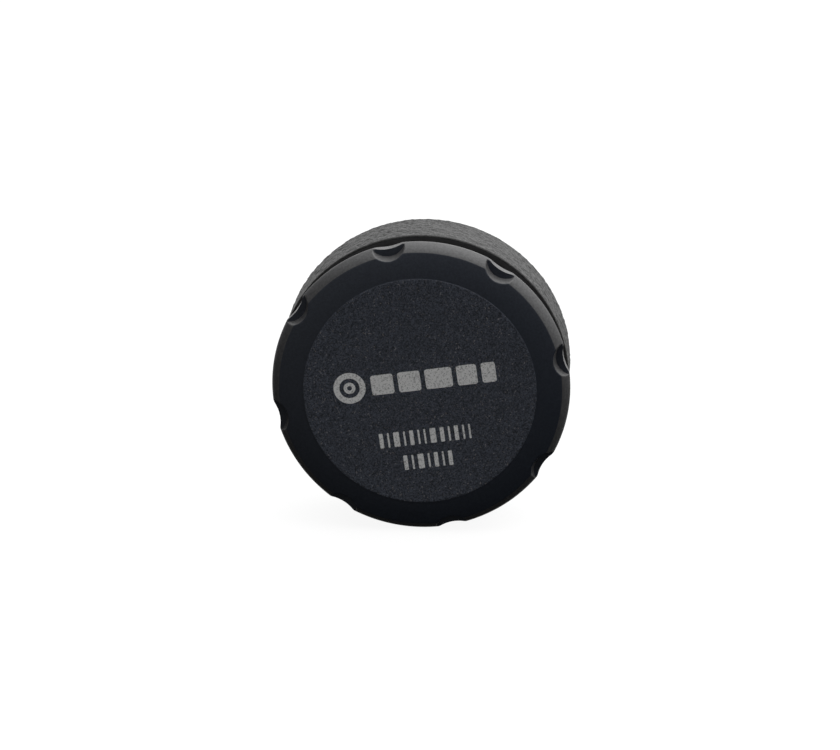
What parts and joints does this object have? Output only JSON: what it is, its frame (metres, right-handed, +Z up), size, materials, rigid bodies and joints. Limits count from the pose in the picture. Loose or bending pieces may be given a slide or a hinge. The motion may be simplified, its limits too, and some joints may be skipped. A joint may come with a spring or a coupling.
{
  "type": "tire pressure monitor",
  "caption": "Small round valve-cap tyre pressure sensor: a black plastic puck with a notched screw-on battery cap, a stippled body and a brass valve thread at the rear.",
  "frame": {"origin": "centre of the mouth of the valve thread, on the sensor's rear face", "axes": "+Y along the sensor's axis, from the cap's face towards the valve, the way the valve stem leaves; +Z up in the stored pose; +X to the right seen from the front"},
  "size_m": [0.0252, 0.016, 0.0252],
  "materials": {
    "black_plastic_satin": "satin moulded, fine grain on the front disc",
    "black_plastic_textured": "coarse moulded stipple",
    "grey_foam": "matt foam",
    "black_rubber": "matt",
    "grey_silicone": "matt",
    "brass": "machined",
    "solder_mask_green": "glass-epoxy board with solder mask",
    "chip_black": "moulded epoxy",
    "steel_bright": "plain metal",
    "tinned_wire": "drawn",
    "ceramic_tan": "fired ceramic",
    "ceramic_blue": "fired ceramic",
    "nickel_spring": "rolled",
    "natural_plastic": "moulded",
    "solder": "reflowed",
    "cell_steel": "nickel plated",
    "cell_gasket_plastic": "moulded",
    "cathode_black": "pressed powder",
    "anode_metal": "rolled"
  },
  "bodies": {
    "sensor_body": {"housing": "black_plastic_textured", "thread_insert": "brass", "valve_gasket": "black_rubber", "core_pin": "brass", "port_seal": "grey_silicone", "pcb": "solder_mask_green", "pressure_sensor_ic": "chip_black", "sensor_lid": "steel_bright", "crystal": "steel_bright", "antenna_coil": "tinned_wire", "smd_capacitors": "ceramic_tan", "smd_resistors": "chip_black", "smd_inductors": "ceramic_blue", "negative_contact": "nickel_spring", "positive_contacts": "nickel_spring", "cell_holder": "natural_plastic", "solder_joints": "solder", "pcb_screws": "steel_bright"},
    "cap_seal": {"o_ring": "black_rubber"},
    "cap": {"screw_cap": "black_plastic_satin", "cap_pad": "grey_foam"},
    "coin_cell": {"cell_can": "cell_steel", "cell_lid": "cell_steel", "cell_gasket": "cell_gasket_plastic", "cell_cathode": "cathode_black", "cell_anode": "anode_metal"}
  },
  "joints": [
    {"name": "cap_rise", "type": "slide", "parent": "sensor_body", "child": "cap_seal", "axis": [0, -1, 0], "range_m": [0, 0.006]},
    {"name": "cap_turn", "type": "hinge", "parent": "cap_seal", "child": "cap", "pos_m": [0, 0, 0], "axis": [0, -1, 0], "range_deg": [0, 1080]},
    {"name": "cell_lift", "type": "slide", "parent": "sensor_body", "child": "coin_cell", "axis": [0, -1, 0], "range_m": [0, 0.0025]}
  ],
  "couplings": [
    {"joint": "cap_turn", "follows": "cap_rise", "rad_per_m": 3141.6},
    {"joint": "cell_lift", "follows": "cap_rise", "ratio": 0.41667}
  ]
}
